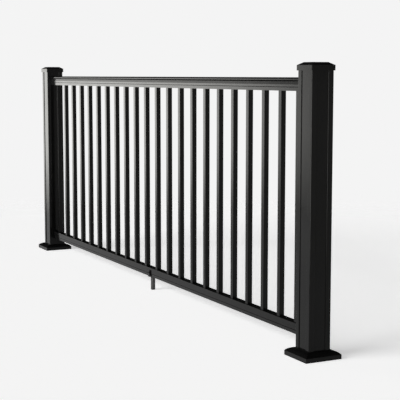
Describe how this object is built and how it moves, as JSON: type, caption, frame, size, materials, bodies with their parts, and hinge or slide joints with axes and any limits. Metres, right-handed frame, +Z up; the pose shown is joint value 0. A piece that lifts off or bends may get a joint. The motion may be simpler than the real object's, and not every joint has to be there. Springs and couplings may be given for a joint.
{
  "type": "deck railing section",
  "caption": "Straight black metal deck railing section: capped square posts on bolted base plates, moulded top rail, bottom rail, square balusters and a centre support leg.",
  "frame": {"origin": "on the deck, midway between the posts, centred across the section", "axes": "+X along the railing, -Y towards the front that the picture shows, +Z up"},
  "size_m": [2.6884, 0.136, 0.961],
  "materials": {
    "powder_coat": "semi-gloss black powder coat on aluminium extrusions",
    "moulded_nylon": "fine-grained black moulded nylon"
  },
  "bodies": {
    "root": {"base_plate_left": "powder_coat", "post_left": "powder_coat", "base_cover_left": "powder_coat", "post_cap_left": "powder_coat", "rail_bracket_top_left": "powder_coat", "rail_bracket_bottom_left": "powder_coat", "base_plate_right": "powder_coat", "post_right": "powder_coat", "base_cover_right": "powder_coat", "post_cap_right": "powder_coat", "rail_bracket_top_right": "powder_coat", "rail_bracket_bottom_right": "powder_coat", "top_rail": "powder_coat", "bottom_rail": "powder_coat", "baluster_01": "powder_coat", "baluster_02": "powder_coat", "baluster_03": "powder_coat", "baluster_04": "powder_coat", "baluster_05": "powder_coat", "baluster_06": "powder_coat", "baluster_07": "powder_coat", "baluster_08": "powder_coat", "baluster_09": "powder_coat", "baluster_10": "powder_coat", "baluster_11": "powder_coat", "baluster_12": "powder_coat", "baluster_13": "powder_coat", "baluster_14": "powder_coat", "baluster_15": "powder_coat", "baluster_16": "powder_coat", "baluster_17": "powder_coat", "baluster_18": "powder_coat", "baluster_19": "powder_coat", "baluster_20": "powder_coat", "baluster_21": "powder_coat", "baluster_22": "powder_coat", "support_leg": "powder_coat", "support_saddle": "moulded_nylon", "support_foot": "moulded_nylon"}
  },
  "joints": []
}
